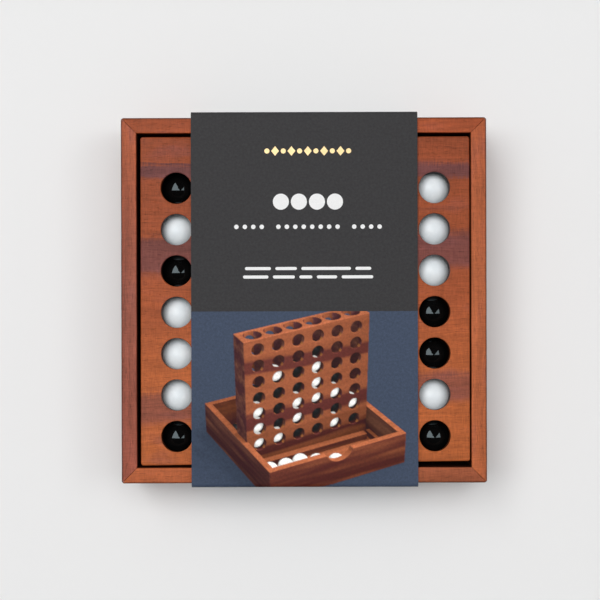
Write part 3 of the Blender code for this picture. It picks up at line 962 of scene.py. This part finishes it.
def sleeve_mesh():
    """Loop of card. The picture's part has a fine grid, whose vertices carry the picture."""
    bm = bmesh.new()
    ink = bm.loops.layers.float_color.new("print")
    first_fine = PLAIN_ROWS
    last_flat = first_fine + FINE_PICTURE_ROWS
    last_fine = last_flat + ARC_STEPS
    fine_xs = spread(SLEEVE_LOW.x, SLEEVE_HIGH.x, FINE_COLUMNS)
    coarse_xs = spread(SLEEVE_LOW.x, SLEEVE_HIGH.x, COARSE_COLUMNS)
    stations = sleeve_stations(0.0, FINE_PICTURE_ROWS)
    inner_stations = sleeve_stations(CARD, COARSE_PICTURE_ROWS)
    unrolled = [y for y, _ in stations[first_fine:last_flat + 1]]
    unrolled += [unrolled[-1] - BEND_RADIUS * angle for angle in quarter()[1:]]
    colours = picture(fine_xs, unrolled)

    def row_of(xs, y, z):
        on_top = z > SLEEVE_HIGH.z - 2 * CARD
        return [bm.verts.new((x, y, z + (card_wave(x, y) if on_top else 0.0))) for x in xs]

    def face(vertices, tints):
        made = bm.faces.new(vertices)
        for corner, tint in zip(made.loops, tints):
            corner[ink] = (*tint, 1.0)

    def part_of(row, column):
        """The vertices of a row, fine or coarse, along one coarse column."""
        step = (len(row) - 1) // COARSE_COLUMNS
        return row[column * step:(column + 1) * step + 1]

    outer = []
    for index, (y, z) in enumerate(stations):
        fine = first_fine <= index <= last_fine
        outer.append(row_of(fine_xs if fine else coarse_xs, y, z))
    inner = [row_of(coarse_xs, y, z) for y, z in inner_stations]

    for index, row in enumerate(outer):
        following = outer[(index + 1) % len(outer)]
        y, z = stations[index]
        slate = y <= PICTURE_TOP and z > SLEEVE_LOW.z + BEND_RADIUS
        plain = SLATE if slate else CHARCOAL
        if len(row) == len(following) == len(fine_xs):
            tints = colours[index - first_fine:index - first_fine + 2]
            for c in range(FINE_COLUMNS):
                corners = (row[c], row[c + 1], following[c + 1], following[c])
                face(corners, (tints[0][c], tints[0][c + 1], tints[1][c + 1], tints[1][c]))
        else:
            for c in range(COARSE_COLUMNS):
                loop = part_of(row, c) + part_of(following, c)[::-1]
                face(loop, [plain] * len(loop))

    for index, row in enumerate(inner):
        following = inner[(index + 1) % len(inner)]
        for c in range(COARSE_COLUMNS):
            face((row[c], following[c], following[c + 1], row[c + 1]), [BARE_CARD] * 4)

    # The cut edges of the card, at both ends of the loop.
    step = FINE_PICTURE_ROWS // COARSE_PICTURE_ROWS
    for end in (0, -1):
        for index in range(len(inner)):
            into_picture = index - first_fine
            if 0 <= into_picture < COARSE_PICTURE_ROWS:
                start = first_fine + into_picture * step
                edge = outer[start:start + step + 1]
            else:
                start = index if into_picture < 0 else index + FINE_PICTURE_ROWS - COARSE_PICTURE_ROWS
                edge = [outer[start], outer[(start + 1) % len(outer)]]
            loop = [row[end] for row in edge] + [inner[(index + 1) % len(inner)][end], inner[index][end]]
            face(loop if end else loop[::-1], [BARE_CARD] * len(loop))
    return finished_mesh("sleeve", bm)


# ---------------------------------------------------------------- marks on the sleeve

INK_THICKNESS = 0.00003
INK_DEPTH = 0.0001
BAR_STEPS = 16

# Places are measured from the tray's middle.
MARK_MIDDLE = 0.0015
CHAIN_Y = 0.053
CHAIN_LINKS = range(-5, 6)
CHAIN_PITCH = 0.0029
CHAIN_DOT = 0.0018
CHAIN_LOZENGE = (0.0028, 0.0034)
DISCS = 4
DISC_Y = 0.035
DISC_PITCH = 0.0064
DISC_SIZE = 0.0057
DOT_Y = 0.0261
DOT_PITCH = 0.003
DOT_SIZE = 0.0016
DOT_GROUPS = ((-0.0209, 4), (0.0, 8), (0.0209, 4))
DASH_HEIGHT = 0.0011
DASH_GAP = 0.0016
DASH_ROWS = ((0.0113, (0.0092, 0.0076, 0.0176, 0.0056)), (0.0083, (0.0090, 0.0078, 0.0046, 0.0072, 0.0112)))


def rounded_bar(x, y, width, height):
    """Outline of a bar with round ends."""
    radius = height / 2
    reach = (width - height) / 2
    angles = spread(-math.pi / 2, math.pi / 2, BAR_STEPS)
    right = [(x + reach + radius * math.cos(a), y + radius * math.sin(a)) for a in angles]
    left = [(x - reach - radius * math.cos(a), y - radius * math.sin(a)) for a in angles]
    return right + left


def disc(x, y, size):
    """Outline of a disc."""
    return rounded_bar(x, y, size, size)


def lozenge(x, y, width, height):
    """Outline of a diamond."""
    return [(x + width / 2, y), (x, y + height / 2), (x - width / 2, y), (x, y - height / 2)]


def add_marks(name, outlines, material):
    """Thin raised shapes, placed from the tray's middle, that follow the card."""
    bm = bmesh.new()
    for outline in outlines:
        places = [(TRAY_ORIGIN.x + x, TRAY_ORIGIN.y + y) for x, y in outline]
        tops = [SLEEVE_HIGH.z + card_wave(x, y) for x, y in places]
        loft(bm, [[(x, y, top - INK_DEPTH) for (x, y), top in zip(places, tops)],
                  [(x, y, top + INK_THICKNESS) for (x, y), top in zip(places, tops)]])
    item = link(name, finished_mesh(name, bm), material)
    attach(item, "sleeve")


def dash_row(y, widths):
    """A centred row of bars of the given widths."""
    x = MARK_MIDDLE - (sum(widths) + DASH_GAP * (len(widths) - 1)) / 2
    row = []
    for width in widths:
        row.append(rounded_bar(x + width / 2, y, width, DASH_HEIGHT))
        x += width + DASH_GAP
    return row


def build_sleeve():
    """The card loop, with generic marks for the real one's text."""
    item = link("fine_sleeve", sleeve_mesh(), card_material())
    even_normals(stand_for(item, "sleeve", "sleeve"))

    foil = raised_ink("gold_foil", (0.95, 0.70, 0.36), Metallic=0.5, Roughness=0.4)
    chain = []
    for step in CHAIN_LINKS:
        x = MARK_MIDDLE + step * CHAIN_PITCH
        chain.append(disc(x, CHAIN_Y, CHAIN_DOT) if step % 2 else lozenge(x, CHAIN_Y, *CHAIN_LOZENGE))
    add_marks("mark_gold_chain", chain, foil)

    white_ink = raised_ink("white_ink", (0.82, 0.82, 0.82), Roughness=0.5)
    discs = [disc(MARK_MIDDLE + (step - (DISCS - 1) / 2) * DISC_PITCH, DISC_Y, DISC_SIZE)
             for step in range(DISCS)]
    add_marks("mark_four_discs", discs, white_ink)
    dots = [disc(MARK_MIDDLE + place + (step - (count - 1) / 2) * DOT_PITCH, DOT_Y, DOT_SIZE)
            for place, count in DOT_GROUPS for step in range(count)]
    add_marks("mark_dot_groups", dots, white_ink)
    dashes = [bar for y, widths in DASH_ROWS for bar in dash_row(y, widths)]
    add_marks("mark_dash_rows", dashes, white_ink)


# ---------------------------------------------------------------- studio

# The camera's height above the tray, its place from the tray's middle, and what it sees.
CAMERA_HEIGHT = 0.45
CAMERA_X = -0.0014
CAMERA_Y = 0.00012
VIEW_WIDTH = 0.2132
CAMERA_ROLL = math.radians(-0.15)
SENSOR = 36.0
FLOOR_REACH = 3.0

# Soft lights: x, y, width and depth for a height of 1, and radiance. A peak is where a window's
# rear point lies, as a share of its width.
LIGHT_HEIGHT = 4.0
WORLD_STRENGTH = 0.24
CEILING = (0.13, 0.33, 0.4, 0.4, 4.6)
LEFT_WINDOW = (-0.38, 0.50, 0.98, 1.10, 4.9)
LEFT_PEAK = 0.4
RIGHT_WINDOW = (0.60, 0.27, 0.70, 0.62, 4.0)
RIGHT_PEAK = 0.9


def build_camera():
    """Straight above the tray, a little to the left of its middle."""
    data = bpy.data.cameras.new("camera")
    data.sensor_width = SENSOR
    data.lens = SENSOR * CAMERA_HEIGHT / VIEW_WIDTH
    data.clip_end = 10.0
    camera = bpy.data.objects.new("camera", data)
    camera.location = (TRAY_ORIGIN.x + CAMERA_X, TRAY_ORIGIN.y + CAMERA_Y, TRAY_HIGH.z + CAMERA_HEIGHT)
    camera.rotation_euler = (0, 0, CAMERA_ROLL)
    bpy.context.scene.collection.objects.link(camera)
    bpy.context.scene.camera = camera


def build_floor():
    """Pale floor, with the faintest clouds."""
    shader = Shader("pale_floor", Specular_IOR_Level=0.1, Roughness=0.9)
    cloud = shader.noise(shader.stretch(shader.millimetres(), (0.01, 0.01, 0.01)))
    finish = shader.finish(shader.ramp(cloud, [(0.80, 0.80, 0.80), (0.81, 0.81, 0.81)]))
    bm = bmesh.new()
    corner = Vector((FLOOR_REACH, FLOOR_REACH))
    bm.faces.new([bm.verts.new((p.x, p.y, SLEEVE_LOW.z)) for p in rectangle(-corner, corner)])
    link("floor", finished_mesh("floor", bm), finish)


def soft_light(name, x, y, width, depth, radiance):
    """Wide soft light that faces straight down from LIGHT_HEIGHT."""
    data = bpy.data.lights.new(name, "AREA")
    data.shape = "RECTANGLE"
    data.size = width * LIGHT_HEIGHT
    data.size_y = depth * LIGHT_HEIGHT
    data.energy = radiance * math.pi * data.size * data.size_y
    light = bpy.data.objects.new(name, data)
    light.location = (x * LIGHT_HEIGHT, y * LIGHT_HEIGHT, LIGHT_HEIGHT)
    bpy.context.scene.collection.objects.link(light)
    return light


def peaked(light, peak):
    """Narrow the light from its full width in front to a point at the rear, as a window seen low."""
    light.data.use_nodes = True
    nodes = Nodes(light.data.node_tree)
    across, rise, _ = nodes.split(nodes.add("NewGeometry", {}, "Parametric"))
    left = nodes.calc("GREATER_THAN", across, nodes.calc("MULTIPLY", rise, peak))
    right = nodes.calc("LESS_THAN", across, nodes.calc("MULTIPLY_ADD", rise, peak - 1.0, 1.0))
    nodes.feed(nodes.tree.nodes["Emission"].inputs["Strength"], nodes.calc("MULTIPLY", left, right))


def build_lights():
    """Even daylight, a bright ceiling, and two windows to the rear that show in the glass."""
    world = bpy.data.worlds.new("studio")
    bpy.context.scene.world = world
    world.use_nodes = True
    background = world.node_tree.nodes["Background"]
    background.inputs["Color"].default_value = (1.0, 1.0, 1.0, 1.0)
    background.inputs["Strength"].default_value = WORLD_STRENGTH
    world.cycles_visibility.glossy = False
    soft_light("ceiling", *CEILING).visible_glossy = False
    peaked(soft_light("window_left", *LEFT_WINDOW), LEFT_PEAK)
    peaked(soft_light("window_right", *RIGHT_WINDOW), RIGHT_PEAK)
    bpy.context.scene.view_settings.view_transform = "Standard"


build_camera()
build_tray()
build_frame()
build_marbles()
build_sleeve()
build_floor()
build_lights()
